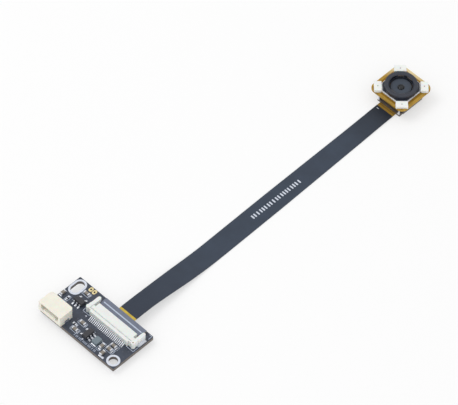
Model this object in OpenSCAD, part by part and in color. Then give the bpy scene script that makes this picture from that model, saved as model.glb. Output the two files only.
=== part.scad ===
// Autofocus camera module on a long flexible circuit, with its interface board.
// Millimetres, +Z up. The origin is the axis of the round mounting hole, at the board's underside.
// The board's long edge runs along X, and the flexible circuit leads off along +Y to the camera head.

/* [Interface board] */
// Length of the board, along X
board_l = 26; // [25:0.1:40]
// Width of the board, along Y
board_w = 14; // [13.5:0.1:24]
// Thickness of the board
board_t = 1; // [0.6:0.1:2]
// Radius of the board's corners
board_corner = 0.3; // [0.1:0.05:1]
// Diameter of the mounting hole, and width of the slotted one
hole_d = 2.4; // [1.6:0.1:2.5]
// Distance from a mounting hole's middle to both edges
hole_inset = 1.85; // [1.8:0.05:2.5]
// How much longer than wide the slotted hole is
slot_travel = 1.75; // [0.5:0.05:2.5]
// Width of the tinned land round a mounting hole
land_w = 0.55; // [0.2:0.05:0.55]
// Distance between the two test pads
test_pitch = 1.2; // [1.15:0.05:1.4]
// Width of a test pad
test_pad_w = 1.05; // [0.8:0.05:1.1]
// Length of a test pad
test_pad_l = 1.5; // [1.2:0.05:1.6]
// Diameter of the hole in a test pad
test_hole_d = 0.5; // [0.3:0.05:0.6]

/* [Flexible-circuit connector] */
// Number of contacts
contact_n = 24; // [20:1:26]
// Distance from one contact to the next
contact_pitch = 0.5; // [0.4:0.05:0.5]
// Width of one contact
contact_w = 0.2; // [0.12:0.01:0.25]
// Clearance between the flexible circuit's tab and each arm
tab_play = 0.2; // [0.1:0.05:0.4]
// Depth of the housing from its front bar to the tips of its arms
zif_l = 5.05; // [4.8:0.05:6]
// Height of the housing
zif_h = 2; // [1.8:0.05:2.4]
// Width of each arm
zif_arm_w = 1; // [0.8:0.05:1.2]
// Depth of the front bar that the contacts pass through
zif_bar = 0.85; // [0.7:0.05:1]
// Height of the floor that the flexible circuit lies on
zif_floor = 0.6; // [0.4:0.05:0.8]
// Distance from the arm tips to the board's far edge
zif_edge_gap = 1.65; // [0.5:0.05:3]
// Gap from the housing to the board's right edge
zif_side_gap = 0.9; // [0.7:0.05:1.5]
// Diameter of the lid's trunnions
trunnion_d = 0.5; // [0.3:0.05:0.6]
// Radial clearance of the trunnions in their bearings
trunnion_play = 0.03; // [0.01:0.01:0.08]

/* [Wire socket] */
// Number of wires
wire_n = 4; // [2:1:4]
// Distance from one wire to the next
wire_pitch = 1.25; // [1.2:0.05:1.5]
// Width of the socket
socket_w = 7.7; // [6.8:0.1:8]
// Depth of the socket
socket_l = 4.6; // [4:0.1:5]
// Height of the socket
socket_h = 3.35; // [3:0.05:4]
// Width of its mouth
mouth_w = 6; // [5.4:0.1:6.2]
// Height of its mouth
mouth_h = 1.6; // [1.2:0.1:1.9]
// Depth of its mouth
mouth_l = 3.4; // [2.5:0.1:3.6]
// How far the socket stands out past the board's edge
socket_overhang = 0.35; // [0:0.05:1]
// Gap from the board's left edge to the socket
socket_edge_gap = 0; // [0:0.1:1]

/* [Chips] */
// Side of the camera controller, under the board
controller_w = 7; // [6:0.5:8]
// Height of the camera controller, which the board rests on
controller_h = 0.9; // [0.8:0.05:1.2]
// Terminals along each side of the camera controller
controller_pins = 12; // [8:1:13]
// Length of a regulator's body
regulator_l = 2.9; // [2.6:0.1:3.1]
// Width of a regulator's body
regulator_w = 1.6; // [1.4:0.1:1.8]
// Height of a regulator
regulator_h = 1.1; // [0.9:0.05:1.3]
// Distance over a regulator's leads
regulator_span = 3; // [2.8:0.1:3.3]
// Distance from one regulator lead to the next
regulator_pitch = 0.95; // [0.8:0.05:0.95]
// Height of the power inductor
inductor_h = 1; // [0.8:0.1:1.5]

/* [Flexible circuit] */
// Thickness of the amber base film
film_t = 0.1; // [0.06:0.01:0.15]
// Thickness of each black cover film
cover_t = 0.05; // [0.03:0.01:0.08]
// Width of the ribbon at its ends
ribbon_end_w = 5.5; // [4:0.1:6]
// Width of the ribbon in the middle of its run
ribbon_mid_w = 6.1; // [5:0.1:7]
// Width of the stiffened tab in the connector
tab_w = 14.2; // [13:0.1:14.4]
// Thickness of the tab's stiffener
tab_stiffener_t = 0.2; // [0.1:0.05:0.25]
// How far the tab stands out past the connector's arms
tab_reach = 1.3; // [0.6:0.1:1.5]
// Bare amber length between the tab and the black ribbon
bare_tab = 0.8; // [0.4:0.1:1.5]
// Bare amber length between the black ribbon and the camera head
bare_head = 1.35; // [0.5:0.05:2]
// Distance from the board's middle to the lens axis, along Y
head_reach = 108; // [90:1:160]
// Sideways step of the ribbon from the connector to the head
ribbon_step = 1.25; // [0:0.05:3]
// Middle of the ribbon's end, to the right of the lens axis
ribbon_side = 0.45; // [0:0.05:1]

/* [Camera head] */
// Side of the actuator's base and can
can_w = 9; // [8.6:0.1:9.4]
// Height of the can above its base
can_h = 2.5; // [2.4:0.05:3]
// Wall of the can
can_wall = 0.2; // [0.1:0.05:0.25]
// Thickness of the steel stiffener under the head
head_stiffener_t = 0.2; // [0.1:0.05:0.3]
// Thickness of the sensor board
sensor_board_t = 0.5; // [0.3:0.05:0.8]
// Depth of the sensor board's ledge in front of the can, where the ribbon joins
ledge_l = 0.5; // [0.4:0.1:1.5]
// Height of the actuator's base
base_h = 0.8; // [0.7:0.05:1.2]
// Thickness of the image sensor
sensor_t = 0.2; // [0.1:0.05:0.25]
// Thickness of the infrared filter
filter_t = 0.2; // [0.1:0.05:0.25]
// Diameter of the black front ring
ring_d = 8.8; // [8:0.1:8.8]
// Inner diameter of the front ring
ring_bore_d = 6.4; // [6.2:0.1:6.6]
// Height of the front ring above the can
ring_h = 1.3; // [0.8:0.05:2]
// Travel of the lens from far to near focus
focus_travel = 0.3; // [0.1:0.05:0.3]

/* [Lens] */
// Diameter of the lens barrel
barrel_d = 5.7; // [5.4:0.05:5.8]
// Length of the lens barrel
barrel_l = 2.85; // [2.8:0.05:3.1]
// Diameter of the front aperture
aperture_d = 1.5; // [0.8:0.05:1.7]
// Radial clearance of the barrel in its carrier
barrel_play = 0.02; // [0.01:0.01:0.05]
// Wall of the carrier round the barrel
carrier_wall = 0.28; // [0.2:0.01:0.3]
// Radial thickness of the coil
coil_t = 0.24; // [0.15:0.01:0.28]

/* [Light plate] */
// Side of the light plate
plate_w = 12; // [11.6:0.1:14]
// Radius of the plate's corners
plate_corner = 2; // [1:0.1:2.5]
// Thickness of the plate
plate_t = 0.4; // [0.2:0.05:0.8]
// Height of the can's top above the plate's top
can_proud = 0.3; // [0:0.05:0.4]
// Gap between a lamp and the can's corner
lamp_gap = 0.06; // [0.04:0.01:0.2]
// Length of a lamp, across the corner
lamp_l = 3.15; // [2.4:0.05:3.2]
// Width of a lamp
lamp_w = 2; // [1.4:0.05:2]
// Height of a lamp
lamp_h = 0.75; // [0.5:0.05:1]

/* [Hidden] */
$fn = 48;

skin_t = 0.04;      // tinned lands and pads
test_gap = 0.625;   // from the slotted hole's land to the first test pad
slip = 0.05;        // clearance between parts that drop into each other
leaf_t = 0.05;      // sheet of the leaf springs
glue_gap = 0.01;    // round faces that are bonded to each other

// ---- the interface board's own frame ----
zif_w = tab_w + 2 * (tab_play + zif_arm_w);
board_x = hole_inset - board_l / 2;
board_y = board_w / 2 - hole_inset;
land_d = hole_d + 2 * land_w;
slot_x = 2 * hole_inset - board_l;
slot_y = [board_w - 2 * hole_inset - slot_travel, board_w - 2 * hole_inset];
test_first = hole_inset - board_l / 2 + land_d / 2 + test_gap + test_pad_w / 2;
test_x = [test_first, test_first + test_pitch];
test_y = board_w / 2 - test_pad_l / 2 - 0.1;

module on_board() translate([board_x, board_y, board_t]) children();
module under_board() translate([board_x, board_y, 0]) mirror([0, 0, 1]) children();

// ---- connector ----
zif_x = board_l / 2 - zif_side_gap - zif_w / 2;
zif_y = board_w / 2 - zif_edge_gap - zif_l;
arm_gap = zif_w - 2 * zif_arm_w;
lid_top = zif_h - 0.1;
lid_under = zif_floor + film_t + tab_stiffener_t + slip;
lid_axis_z = lid_under + 0.4;
lid_swing = 0.6;    // room that the lid's back edge needs round its axis
lid_axis_y = zif_bar + lid_swing;
lid_front = 3.55;
lid_step = 0.7;     // how much narrower the lid's free edge is, at each end
lid_ears = 0.75;    // how far in front of the axis the lid keeps its full width
floor_l = 3.95;
tongue_back = zif_bar + 0.35;
beam_tip = floor_l - 0.85;
anchor_l = zif_l / 2;
anchor_w = zif_side_gap - 0.4;

module at_zif() on_board() translate([zif_x, zif_y, 0]) children();

// ---- heights of the camera head, from the surface it lies on ----
table_z = -controller_h;
flex_z = head_stiffener_t;
sensor_board_z = flex_z + film_t;
base_z = sensor_board_z + sensor_board_t;
can_z = base_z + base_h;
can_top = can_z + can_h;
plate_z = can_top - can_proud - plate_t;
head_x = board_x + zif_x - ribbon_step - ribbon_side;
head_y = board_y + head_reach;

module at_head(z = 0) translate([head_x, head_y, table_z + z]) children();

// ---- outlines ----
module rounded_rect(l, w, r) {
    square([l - 2 * r, w], center = true);
    square([l, w - 2 * r], center = true);
    for (x = [-1, 1], y = [-1, 1]) translate([x * (l / 2 - r), y * (w / 2 - r)]) circle(r);
}

// A bar with round ends, lying along Y
module stadium(w, l) {
    square([w, l - w], center = true);
    for (s = [-1, 1]) translate([0, s * (l - w) / 2]) circle(w / 2);
}

// A square of half-width a whose corners are cut at distance d from the middle
function cut_square(a, d) = let (k = d * sqrt(2) - a)
    [[a, k], [k, a], [-k, a], [-a, k], [-a, -k], [-k, -a], [k, -a], [a, -k]];

module place_slot() translate([slot_x, (slot_y[0] + slot_y[1]) / 2]) children();
module place_tests() translate([board_x, board_y + test_y])
    for (x = test_x) translate([x, 0]) children();

// ---- interface board ----
module circuit_board() color("#3c414e") linear_extrude(board_t) difference() {
    translate([board_x, board_y]) rounded_rect(board_l, board_w, board_corner);
    circle(hole_d / 2);
    place_slot() stadium(hole_d, hole_d + slot_travel);
    place_tests() circle(test_hole_d / 2);
}

module both_faces() {
    translate([0, 0, board_t]) linear_extrude(skin_t) children();
    translate([0, 0, -skin_t]) linear_extrude(skin_t) children();
}

module hole_lands() color("#dfe3ea") {
    both_faces() difference() {
        circle(land_d / 2);
        circle(hole_d / 2);
    }
    both_faces() place_slot() difference() {
        stadium(land_d, land_d + slot_travel);
        stadium(hole_d, hole_d + slot_travel);
    }
}

module test_pads() color("#d8bf7a") both_faces() place_tests() difference() {
    stadium(test_pad_w, test_pad_l);
    circle(test_hole_d / 2);
}

// ---- connector for the flexible circuit ----
root_d = 1.15 * zif_arm_w;
root_y = 0.25 + root_d / 2;
gate_mark = [0.4, 0.15];    // diameter and depth of the moulding gate's mark on the right root
bar_w = contact_n * contact_pitch + 1.2;
bar_set_back = 0.45;
contact_x = [for (i = [0 : contact_n - 1]) (i - (contact_n - 1) / 2) * contact_pitch];

module trunnion_bore(side) translate([side * (arm_gap / 2 - 0.01), lid_axis_y, lid_axis_z])
    rotate([0, side * 90, 0]) cylinder(d = trunnion_d + 2 * trunnion_play, h = 0.61);

// An arm with a round tip, and a thicker round root that holds the lid's bearing
module zif_arm(side) translate([side * arm_gap / 2, 0, 0]) scale([side, 1, 1]) {
    translate([0, root_y, 0]) cube([zif_arm_w, zif_l - root_y - zif_arm_w / 2, zif_h - 0.2]);
    translate([zif_arm_w / 2, zif_l - zif_arm_w / 2, 0]) cylinder(d = zif_arm_w, h = zif_h - 0.2);
    translate([root_d / 2, root_y, 0]) cylinder(d = root_d, h = zif_h);
    translate([0, root_y, 0]) cube([zif_arm_w, lid_axis_y + 0.7 - root_y, zif_h]);
}

// The bar that the contacts pass through, set back at both ends, and the floor behind it
module zif_front_bar() {
    translate([-bar_w / 2, 0, 0]) cube([bar_w, zif_bar, lid_top]);
    translate([-arm_gap / 2 - 0.1, bar_set_back, 0]) cube([arm_gap + 0.2, zif_bar - bar_set_back, lid_top]);
    translate([-arm_gap / 2 - 0.1, bar_set_back, 0]) cube([arm_gap + 0.2, floor_l - bar_set_back, zif_floor]);
}

module zif_housing() color("#f0f0e6") at_zif() difference() {
    union() {
        zif_front_bar();
        for (side = [-1, 1]) zif_arm(side);
    }
    for (side = [-1, 1]) trunnion_bore(side);
    translate([(arm_gap + root_d) / 2, root_y, zif_h - gate_mark.y]) cylinder(d = gate_mark.x, h = 1);
    for (x = contact_x) translate([x - contact_w / 2, 0, 0]) {
        translate([0, -0.1, -0.1]) cube([contact_w, zif_bar - 0.15, zif_floor + 0.6]);
        translate([0, -0.1, 0.2]) cube([contact_w, beam_tip + 0.3, zif_floor]);
    }
}

// Profile of the lid between its back edge and y
module lid_profile(y) intersection() {
    union() {
        translate([lid_axis_y, lid_axis_z]) circle(0.4);
        polygon([
            [lid_axis_y, lid_under], [y - 0.35, lid_under], [y, lid_under + 0.3],
            [y, lid_top - 0.15], [y - 0.15, lid_top],
            [lid_axis_y - 0.12, lid_top], [lid_axis_y - 0.4, lid_axis_z + 0.37],
            [lid_axis_y - 0.4, lid_axis_z]
        ]);
    }
    translate([0, lid_under]) square([zif_l, zif_h]);
}

// A lid whose back edge turns about the trunnions; its free edge, a little narrower, lifts
module zif_actuator() color("#f2f2ea") at_zif() {
    translate([slip - arm_gap / 2, 0, 0]) rotate([90, 0, 90]) linear_extrude(arm_gap - 2 * slip)
        lid_profile(lid_axis_y + lid_ears);
    translate([lid_step - arm_gap / 2, 0, 0]) rotate([90, 0, 90]) linear_extrude(arm_gap - 2 * lid_step)
        lid_profile(lid_front);
    for (side = [-1, 1]) translate([side * (arm_gap / 2 - slip), lid_axis_y, lid_axis_z])
        rotate([0, side * 90, 0]) cylinder(d = trunnion_d, h = 0.5);
}

// Foot on the board, riser in the front bar, and a sprung beam under the flexible circuit
module contact() translate([-contact_w / 2, 0, 0]) rotate([90, 0, 90]) linear_extrude(contact_w)
    polygon([
        [-1.1, 0], [-0.8, 0], [-0.1, 0.45], [0.1, 0.45], [0.1, 0.2], [beam_tip - 0.1, 0.2],
        [beam_tip, zif_floor], [beam_tip - 0.3, zif_floor], [beam_tip - 0.5, 0.4],
        [zif_bar - 0.25, 0.45], [zif_bar - 0.25, zif_floor + 0.5],
        [zif_bar - 0.55, zif_floor + 0.5], [0.15, 0.65], [-0.15, 0.6], [-0.85, 0.15], [-1.1, 0.15]
    ]);

module zif_contacts() color("#c9ccd0") at_zif() for (x = contact_x) translate([x, 0, 0]) contact();

module zif_anchor_tabs() color("#d9dbde") at_zif() for (side = [-1, 1])
    scale([side, 1, 1]) translate([zif_w / 2, zif_l - anchor_l - 0.6, 0]) {
        cube([anchor_w, anchor_l, 0.15]);
        translate([0, 0.3, 0.15]) cube([0.15, anchor_l - 0.6, 0.75]);
    }

// ---- wire socket ----
socket_x = -board_l / 2 + socket_edge_gap + socket_w / 2;
socket_y = -board_w / 2 - socket_overhang;
mouth_z = socket_h - mouth_h - 0.25;
wire_x = [for (i = [0 : wire_n - 1]) (i - (wire_n - 1) / 2) * wire_pitch];
pin_w = 0.4;
pin_z = mouth_z + mouth_h / 2;

module at_socket() on_board() translate([socket_x, socket_y, 0]) children();

socket_anchor = [0.2, 1.5, 0.95];    // a plate let into each side, soldered to the board

module wire_socket() color("#efedda") at_socket() difference() {
    translate([-socket_w / 2, 0, 0]) cube([socket_w, socket_l, socket_h]);
    translate([-mouth_w / 2, -0.1, mouth_z]) cube([mouth_w, mouth_l + 0.1, mouth_h]);
    for (s = [-1, 1]) translate([s * (mouth_w / 2 - 0.6) - 0.35, -0.1, mouth_z - 0.4])
        cube([0.7, 1.8, 0.5]);
    for (x = wire_x) {
        translate([x - pin_w / 2, mouth_l - 0.1, pin_z - pin_w / 2]) cube([pin_w, socket_l, pin_w]);
    }
    for (s = [-1, 1]) translate([s * socket_w / 2, socket_l, 0]) rotate([0, 0, 45])
        cube([0.7, 0.7, 3 * socket_h], center = true);
    for (side = [-1, 1]) translate([side * socket_w / 2, socket_l / 2, 0])
        cube([2 * socket_anchor.x, socket_anchor.y, 2 * socket_anchor.z] + 2 * [slip, slip, slip],
            center = true);
}

// Square pin along the mouth, bent down behind the socket to a foot on the board
module wire_pin() translate([-pin_w / 2, 0, 0]) rotate([90, 0, 90]) linear_extrude(pin_w)
    polygon([
        [0.8, pin_z - pin_w / 4], [1, pin_z - pin_w / 2], [socket_l, pin_z - pin_w / 2],
        [socket_l, 0], [socket_l + 0.9, 0], [socket_l + 0.9, 0.25], [socket_l + 0.35, 0.25],
        [socket_l + 0.35, pin_z + pin_w / 2 - 0.15], [socket_l + 0.2, pin_z + pin_w / 2],
        [1, pin_z + pin_w / 2], [0.8, pin_z + pin_w / 4]
    ]);

module wire_socket_pins() color("#cfd1d4") at_socket() for (x = wire_x) translate([x, 0, 0]) wire_pin();

module wire_socket_anchors() color("#d4d6d8") at_socket() for (side = [-1, 1])
    translate([side * (socket_w - socket_anchor.x) / 2, socket_l / 2, socket_anchor.z / 2])
        cube(socket_anchor, center = true);

// ---- chips on both faces of the board ----
// Regulators: x, y, turn. One stands between the slotted hole's land and the connector.
side_regulator_x = (hole_inset - board_l / 2 + land_d / 2 + zif_x - zif_w / 2) / 2 - 0.5;
regulators = [[side_regulator_x, 1.35, 0], [1.25, -4.1, 90]];
// Chips on the top face: x, y, turn, length, width, height
top_capacitors = [
    [8.2, -2.1, 0, 1.6, 0.8, 0.7], [8.1, -3.5, 0, 1.6, 0.8, 0.7], [6.2, -4.2, 90, 1.6, 0.8, 0.7],
    [7.75, -5.6, 90, 1.6, 0.8, 0.7], [-2.2, -2.6, 0, 1.6, 0.8, 0.6], [-2.2, -5.3, 0, 1.6, 0.8, 0.6],
    [-8, 4.4, 0, 1.6, 0.8, 0.6], [0.6 - board_l / 2, 0.4, 90, 1.6, 0.8, 0.6]
];
top_resistors = [[-3.4, -4.2, 0, 1, 0.5, 0.35], [-10.4, 0.1, 90, 1, 0.5, 0.35]];
// Chips on the underside: x, y, turn, length, width, height
under_capacitors = [
    [-8, -3, 0, 1, 0.5, 0.5], [-8, -1.6, 0, 1, 0.5, 0.5], [5.2, -3.6, 90, 1, 0.5, 0.5],
    [5.2, 3.4, 90, 1, 0.5, 0.5], [-3, 5.2, 0, 1, 0.5, 0.5]
];
under_resistors = [[-8, 1.6, 0, 1, 0.5, 0.35], [-8, 3, 0, 1, 0.5, 0.35], [1.5, 5.2, 0, 1, 0.5, 0.35]];
chip_end = 0.28;

module placed(spots) for (p = spots) translate([p[0], p[1], 0]) rotate([0, 0, p[2]]) {
    $chip = [p[3], p[4], p[5]];
    children();
}

module chip_body() translate([chip_end - $chip[0] / 2, 0.02 - $chip[1] / 2, 0.02])
    cube([$chip[0] - 2 * chip_end, $chip[1] - 0.04, $chip[2] - 0.04]);

module chip_ends() for (s = [-1, 1]) translate([s * ($chip[0] - chip_end) / 2, 0, $chip[2] / 2])
    cube([chip_end, $chip[1], $chip[2]], center = true);

module capacitor_bodies() color("#8a7660") {
    on_board() placed(top_capacitors) chip_body();
    under_board() placed(under_capacitors) chip_body();
}

module capacitor_ends() color("#d5d7da") {
    on_board() placed(top_capacitors) chip_ends();
    under_board() placed(under_capacitors) chip_ends();
}

module resistor_bodies() color("#26282c") {
    on_board() placed(top_resistors) chip_body();
    under_board() placed(under_resistors) chip_body();
}

module resistor_ends() color("#d5d7da") {
    on_board() placed(top_resistors) chip_ends();
    under_board() placed(under_resistors) chip_ends();
}

// A moulded body with drafted sides, and the flat line of its parting
module regulator_body() translate([-regulator_l / 2, 0, 0]) rotate([90, 0, 90])
    linear_extrude(regulator_l) polygon([
        [0.12 - regulator_w / 2, 0.1], [regulator_w / 2 - 0.12, 0.1], [regulator_w / 2, 0.55],
        [regulator_w / 2 - 0.12, regulator_h], [0.12 - regulator_w / 2, regulator_h],
        [-regulator_w / 2, 0.55]
    ]);

// A gull-wing lead from the parting line down to the board
module regulator_lead() translate([-0.2, 0, 0]) rotate([90, 0, 90]) linear_extrude(0.4)
    polygon([
        [regulator_w / 2, 0.48], [regulator_w / 2 + 0.1, 0.48], [regulator_w / 2 + 0.25, 0],
        [regulator_span / 2, 0], [regulator_span / 2, 0.14], [regulator_w / 2 + 0.37, 0.14],
        [regulator_w / 2 + 0.22, 0.62], [regulator_w / 2, 0.62], [regulator_w / 2, 0.55]
    ]);

module regulator_bodies() color("#55565a") on_board()
    for (p = regulators) translate([p[0], p[1], 0]) rotate([0, 0, p[2]]) regulator_body();

module regulator_leads() color("#d2d4d7") on_board()
    for (p = regulators) translate([p[0], p[1], 0]) rotate([0, 0, p[2]]) {
        for (i = [-1, 0, 1]) translate([i * regulator_pitch, 0, 0]) mirror([0, 1, 0]) regulator_lead();
        for (i = [-1, 1]) translate([i * regulator_pitch, 0, 0]) regulator_lead();
    }

inductor_spot = [4.35, -4.15, 0];
inductor_l = 2.2;
inductor_w = 1.75;

module power_inductor() color("#7d8c96") on_board() translate(inductor_spot) translate([0, 0, 0.1])
    linear_extrude(inductor_h - 0.1) rounded_rect(inductor_w, inductor_l, 0.35);

module inductor_terminals() color("#d2d4d7") on_board() translate(inductor_spot)
    for (s = [-1, 1]) translate([0, s * (inductor_l / 2 - 0.25), 0.05])
        cube([inductor_w - 0.3, 0.5, 0.1], center = true);

controller_spot = [-1.2, 0.4, 0];
controller_pitch = 0.5;
controller_pin = [0.24, 0.4, 0.2];

module controller_ring() for (turn = [0 : 90 : 270], i = [0 : controller_pins - 1]) rotate([0, 0, turn])
    translate([(i - (controller_pins - 1) / 2) * controller_pitch, (controller_w - controller_pin[1]) / 2,
        controller_pin[2] / 2]) children();

module camera_controller() color("#2b2c2f") under_board() translate(controller_spot) difference() {
    linear_extrude(controller_h) rounded_rect(controller_w, controller_w, 0.15);
    controller_ring() cube(controller_pin + [0, 0.02, 0.02], center = true);
}

module controller_terminals() color("#c9cbce") under_board() translate(controller_spot)
    controller_ring() cube(controller_pin, center = true);

module flash_memory() color("#2e2f33") under_board() translate([8, 2.2, 0])
    translate([-1, -1.5, 0]) cube([2, 3, 0.6]);

crystal_spot = [8, -1.8, 0];

module crystal_base() color("#b9a98c") under_board() translate(crystal_spot)
    linear_extrude(0.45) rounded_rect(3.2, 2.5, 0.2);

module crystal_lid() color("#c8cacd") under_board() translate(crystal_spot) translate([0, 0, 0.45])
    linear_extrude(0.25) rounded_rect(2.8, 2.1, 0.3);

// ---- flexible circuit ----
// The base film's underside is a line in the Y-Z plane: level in the connector, down past the
// board's edge in an easy S, along the surface, and up a little to the head.
tab_back = board_y + zif_y + tongue_back;
tab_end = board_y + zif_y + zif_l + tab_reach;
ledge_y = head_y - can_w / 2 - ledge_l;
film_board = board_t + zif_floor;
film_table = table_z + cover_t;
film_head = table_z + flex_z;
fall_y = [tab_end + bare_tab + 0.4, tab_end + 0.32 * (ledge_y - tab_end)];
rise_y = [ledge_y - 0.166 * (ledge_y - tab_end), ledge_y - bare_head - 0.4];
s_steps = 12;

function ease(t) = t * t * (3 - 2 * t);
function s_bend(y, z) = [for (i = [0 : s_steps])
    [y[0] + (y[1] - y[0]) * i / s_steps, z[0] + (z[1] - z[0]) * ease(i / s_steps)]];
film_line = concat(
    [[tab_back, film_board]], s_bend(fall_y, [film_board, film_table]),
    s_bend(rise_y, [film_table, film_head]), [[head_y + can_w / 2, film_head]]
);

// Height of the film's underside at y, and the same line raised by d and cut to a stretch
function film_z(y, i = 0) = i > len(film_line) - 2 || y <= film_line[i + 1][0]
    ? let (a = film_line[min(i, len(film_line) - 2)], b = film_line[min(i, len(film_line) - 2) + 1])
        a[1] + (b[1] - a[1]) * (y - a[0]) / (b[0] - a[0])
    : film_z(y, i + 1);
function raised(y0, y1, d) = concat(
    [[y0, film_z(y0) + d]], [for (p = film_line) if (p[0] > y0 && p[0] < y1) [p[0], p[1] + d]],
    [[y1, film_z(y1) + d]]
);
function backwards(list) = [for (i = [len(list) - 1 : -1 : 0]) list[i]];

// A layer between two heights above the film's underside, wide enough for any outline
module layer(y0, y1, low, high) translate([head_x - 2 * tab_w, 0, 0]) rotate([90, 0, 90])
    linear_extrude(4 * tab_w) polygon(concat(raised(y0, y1, low), backwards(raised(y0, y1, high))));

ribbon_x = [board_x + zif_x, board_x + zif_x - ribbon_step];
ribbon_run = ledge_y - tab_end;
// Stations along the ribbon: share of the run, half-width
ribbon_stations = [
    [0, ribbon_end_w / 2], [0.08, ribbon_end_w / 2], [0.2, ribbon_mid_w / 2 - 0.02],
    [0.35, ribbon_mid_w / 2], [0.55, ribbon_mid_w / 2], [0.93, ribbon_end_w / 2], [1, ribbon_end_w / 2]
];
function ribbon_edge(side) = [for (s = ribbon_stations)
    [ribbon_x[0] + (ribbon_x[1] - ribbon_x[0]) * s[0] + side * s[1], tab_end + ribbon_run * s[0]]];

module ribbon_outline() polygon(concat(ribbon_edge(1), backwards(ribbon_edge(-1))));

module tab_outline(back) translate([board_x + zif_x - tab_w / 2, back]) square([tab_w, tab_end - back]);

module tongue_outline() translate([board_x + zif_x, 0])
    translate([-(contact_n * contact_pitch + 0.5) / 2, tab_back])
        square([contact_n * contact_pitch + 0.5, tab_end - tab_back]);

// Sensor board, film and stiffener share this outline: the base's square with a ledge for the ribbon
ledge_x = [-3.4, can_w / 2 - 0.15];
base_cut = can_w / 2 * sqrt(2) - 0.65;
module head_outline() translate([head_x, head_y]) {
    polygon(cut_square(can_w / 2, base_cut));
    translate([ledge_x[0], ledge_y - head_y]) square([ledge_x[1] - ledge_x[0], can_w / 2]);
}

module tall() translate([0, 0, -tab_w]) linear_extrude(2 * tab_w) children();

module flex_base() color("#b98a2c") intersection() {
    layer(tab_back, head_y + can_w / 2, 0, film_t);
    tall() {
        tongue_outline();
        tab_outline(board_y + zif_y + lid_front + 0.1);
        ribbon_outline();
        head_outline();
    }
}

module cover(low, high) intersection() {
    layer(tab_end + bare_tab, ledge_y - bare_head, low, high);
    tall() ribbon_outline();
}

module flex_cover_top() color("#3b424d") cover(film_t, film_t + cover_t);
module flex_cover_bottom() color("#2d323b") cover(-cover_t, 0);

module tab_stiffener() color("#878a99") intersection() {
    layer(tab_back, tab_end, film_t, film_t + tab_stiffener_t);
    tall() {
        tongue_outline();
        tab_outline(board_y + zif_y + lid_front + 0.1);
    }
}

module head_stiffener() color("#55585c") translate([0, 0, table_z])
    linear_extrude(head_stiffener_t) head_outline();

// ---- camera head ----
can_cut = can_w / 2 + 0.5;
sensor_w = 5.6;
sensor_l = 4.8;
cavity_w = 6.4;
filter_w = 5.9;
window_w = 5.2;
filter_seat = 0.25;

module sensor_board() color("#2f3136") translate([0, 0, table_z + sensor_board_z])
    linear_extrude(sensor_board_t) head_outline();

module image_sensor() color("#3a4350") at_head(base_z)
    translate([-sensor_w / 2, -sensor_l / 2, 0]) cube([sensor_w, sensor_l, sensor_t]);

module filter_glass() color("#7fa9a8") at_head(can_z - filter_seat - filter_t)
    translate([-filter_w / 2, -filter_w / 2, 0]) cube([filter_w, filter_w, filter_t]);

module vcm_base() color("#1f2024") at_head(base_z) difference() {
    linear_extrude(base_h) polygon(cut_square(can_w / 2, base_cut));
    translate([-cavity_w / 2, -cavity_w / 2, -0.1]) cube([cavity_w, cavity_w, base_h - filter_seat + 0.1]);
    translate([-window_w / 2, -window_w / 2, 0]) cube([window_w, window_w, base_h + 0.1]);
}

can_in = can_w / 2 - can_wall;
cut_in = can_cut - can_wall;
can_bore_d = ring_bore_d + 0.3;

module vcm_can() color("#c4c7cc") at_head(can_z) difference() {
    linear_extrude(can_h) polygon(cut_square(can_w / 2, can_cut));
    translate([0, 0, -0.1]) linear_extrude(can_h - can_wall + 0.1) polygon(cut_square(can_in, cut_in));
    cylinder(d = can_bore_d, h = can_h + 1);
}

coil_r = barrel_d / 2 + barrel_play + carrier_wall;
frame_h = focus_travel + leaf_t;
stack_h = can_h - can_wall - frame_h - 2 * leaf_t;
magnet_t = 0.6;
magnet_l = 4;

module vcm_magnets() color("#8d9096") at_head(can_z + leaf_t) for (turn = [0 : 90 : 270])
    rotate([0, 0, turn]) translate([-magnet_l / 2, can_in - magnet_t, 0])
        cube([magnet_l, magnet_t, stack_h]);

module upper_frame() color("#26272b") at_head(can_z + 2 * leaf_t + stack_h) difference() {
    linear_extrude(frame_h) polygon(cut_square(can_in, cut_in));
    translate([0, 0, -0.1]) cylinder(r = can_in - magnet_t, h = frame_h + 1);
}

// A leaf spring: inner ring on the carrier, outer frame under the can, four curved arms between
module leaf_spring() linear_extrude(leaf_t) {
    difference() {
        polygon(cut_square(can_in, cut_in));
        circle(can_in - 0.45);
    }
    difference() {
        circle(coil_r + 0.1);
        circle(barrel_d / 2 + 0.1);
    }
    for (turn = [0 : 90 : 270]) rotate([0, 0, turn]) {
        intersection() {
            difference() {
                circle(coil_r + 0.4);
                circle(coil_r + 0.3);
            }
            polygon([[0, 0], [5, -1], [5, 5]]);
        }
        rotate(-8) translate([coil_r + 0.05, -0.1]) square([0.33, 0.2]);
        rotate(42) translate([coil_r + 0.32, -0.1]) square([can_in - coil_r - 0.6, 0.2]);
    }
}

module upper_spring() color("#b08d57") at_head(can_z + leaf_t + stack_h) leaf_spring();
module lower_spring() color("#b08d57") at_head(can_z) leaf_spring();

// Carrier: a bobbin whose two flanges hold the coil
flange_h = 0.3;
module lens_carrier() color("#3a3c41") at_head(can_z + leaf_t) difference() {
    union() {
        cylinder(r = coil_r, h = stack_h);
        cylinder(r = coil_r + coil_t, h = flange_h);
        translate([0, 0, stack_h - flange_h]) cylinder(r = coil_r + coil_t, h = flange_h);
    }
    translate([0, 0, -0.1]) cylinder(r = barrel_d / 2 + barrel_play, h = stack_h + 1);
}

module focus_coil() color("#a8603a") at_head(can_z + leaf_t + flange_h) difference() {
    cylinder(r = coil_r + coil_t - 0.02, h = stack_h - 2 * flange_h);
    translate([0, 0, -0.1]) cylinder(r = coil_r + glue_gap, h = stack_h);
}

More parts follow.
